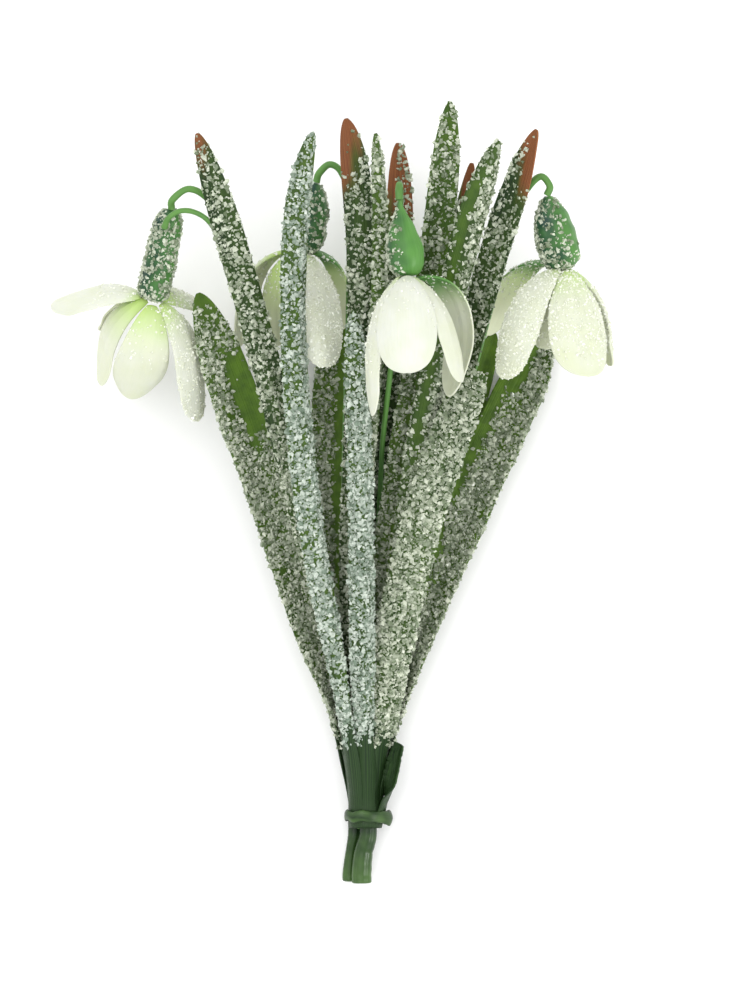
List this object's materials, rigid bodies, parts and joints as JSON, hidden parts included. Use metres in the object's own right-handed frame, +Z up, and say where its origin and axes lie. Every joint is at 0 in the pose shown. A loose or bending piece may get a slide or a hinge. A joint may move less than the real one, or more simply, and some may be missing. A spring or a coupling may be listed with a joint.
{
  "type": "frosted artificial snowdrop bunch",
  "caption": "Tied bunch of frosted snowdrops lying down, with nodding white flowers on thin arched stems among long strap leaves and cut stem ends at one end.",
  "frame": {"origin": "bottom centre of the bunch's box, on the surface that it lies on", "axes": "+Y from the cut stem ends towards the leaf tips, +X to the bunch's right when seen from above with the tips away, +Z up off the surface"},
  "size_m": [0.141, 0.196, 0.0685],
  "materials": {
    "leaf": "satin dark green under clear ice-like crystals, russet at some tips",
    "petal": "soft satin white, yellow-green towards the base, finely frosted",
    "calyx": "satin green, partly frosted",
    "stem": "satin green, bare",
    "foot": "dark green, slightly shiny"
  },
  "bodies": {
    "root": {"back_left_calyx": "calyx", "back_left_petal_1": "petal", "back_left_petal_2": "petal", "back_left_petal_3": "petal", "back_left_petal_4": "petal", "back_left_petal_5": "petal", "back_left_petal_6": "petal", "back_left_stem": "stem", "centre_calyx": "calyx", "centre_petal_1": "petal", "centre_petal_2": "petal", "centre_petal_3": "petal", "centre_petal_4": "petal", "centre_petal_5": "petal", "centre_petal_6": "petal", "centre_stem": "stem", "leaf_back_left": "leaf", "leaf_back_right": "leaf", "leaf_folded_right": "leaf", "leaf_front_centre": "leaf", "leaf_front_left": "leaf", "leaf_front_right": "leaf", "leaf_left_tall": "leaf", "leaf_left_wide": "leaf", "leaf_narrow_centre": "leaf", "leaf_right_wide": "leaf", "leaf_russet_back": "leaf", "leaf_russet_centre": "leaf", "leaf_russet_left": "leaf", "leaf_russet_right": "leaf", "leaf_tall_centre": "leaf", "left_bract": "stem", "left_calyx": "calyx", "left_petal_1": "petal", "left_petal_2": "petal", "left_petal_3": "petal", "left_petal_4": "petal", "left_petal_5": "petal", "left_petal_6": "petal", "left_stem": "stem", "right_calyx": "calyx", "right_petal_1": "petal", "right_petal_2": "petal", "right_petal_3": "petal", "right_petal_4": "petal", "right_petal_5": "petal", "right_petal_6": "petal", "right_stem": "stem", "sheath_stub": "foot", "stem_end_back": "foot", "stem_end_front": "foot", "tie": "foot"}
  },
  "joints": []
}
